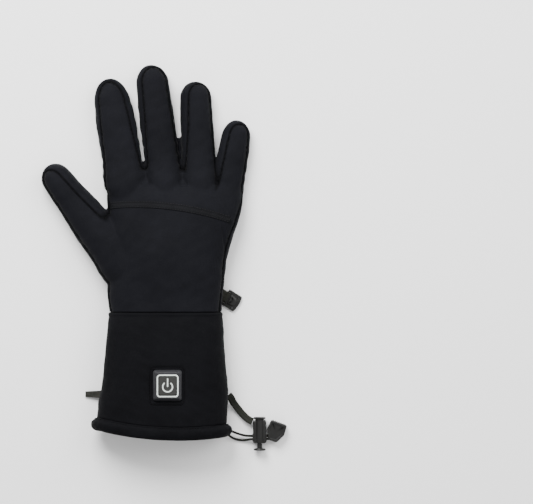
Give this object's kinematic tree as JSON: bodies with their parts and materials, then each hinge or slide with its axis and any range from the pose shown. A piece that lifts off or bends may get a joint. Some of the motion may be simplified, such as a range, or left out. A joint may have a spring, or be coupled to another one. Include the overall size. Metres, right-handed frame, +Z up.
{
  "type": "heated glove",
  "caption": "Padded heated glove for the right hand, lying palm down, with a power switch on its cuff, a zipped battery pocket, touch-screen pads, a wrist clip and a hem drawcord with a lock.",
  "frame": {"origin": "on the surface that the glove lies on, under the middle of its palm", "axes": "+Y from the cuff towards the fingers, +Z up through the back of the hand, the thumb on the -X side"},
  "size_m": [0.1912, 0.3006, 0.0461],
  "materials": {
    "softshell": "matt stretch softshell, fine knit",
    "palm_cloth": "matt cloth with a light grey raised honeycomb print",
    "touch_suede": "napped suede-like cloth",
    "tape": "narrow twin-needle tape",
    "switch_rubber": "satin moulded rubber",
    "switch_cap": "satin moulded plastic",
    "mark_white": "smooth white inlay",
    "zip_coil": "nylon coil on woven tape",
    "slider_metal": "dark gunmetal coating",
    "hard_plastic": "satin moulded acetal",
    "elastic": "ribbed elastic webbing and round elastic cord"
  },
  "bodies": {
    "glove": {"back_of_fingers": "softshell", "back_of_hand": "softshell", "thumb_gusset": "softshell", "gusset_index_middle": "softshell", "gusset_middle_ring": "softshell", "gusset_ring_little": "softshell", "side_thumb": "softshell", "side_little": "softshell", "cuff": "softshell", "hem": "softshell", "palm": "palm_cloth", "touch_pad_index": "touch_suede", "touch_pad_thumb": "touch_suede", "knuckle_tape": "tape", "switch_housing": "switch_rubber", "switch_outline": "mark_white", "zip_tape": "zip_coil", "zip_slider": "slider_metal", "clip": "hard_plastic", "lock_body": "hard_plastic", "cord_end": "hard_plastic", "clip_webbing": "elastic", "lock_strap": "elastic", "hem_cord_upper": "elastic", "hem_cord_lower": "elastic"},
    "power_switch": {"switch_cap": "switch_cap", "power_ring": "mark_white", "power_bar": "mark_white"},
    "lock_plunger": {"lock_plunger": "hard_plastic"},
    "zip_puller": {"zip_puller": "hard_plastic"}
  },
  "joints": [
    {"name": "switch_press", "type": "slide", "parent": "glove", "child": "power_switch", "axis": [-0.0523, 0, -0.9986], "range_m": [0, 0.0006], "stiffness_N_per_m": 1000, "springref_m": -0.0002},
    {"name": "lock_press", "type": "slide", "parent": "glove", "child": "lock_plunger", "axis": [0, 1, 0], "range_m": [0, 0.0024], "stiffness_N_per_m": 400, "springref_m": -0.002},
    {"name": "puller_swing", "type": "hinge", "parent": "glove", "child": "zip_puller", "pos_m": [-0.04716, -0.113, 0.00472], "axis": [0, 1, 0], "range_deg": [-100, 45]}
  ]
}
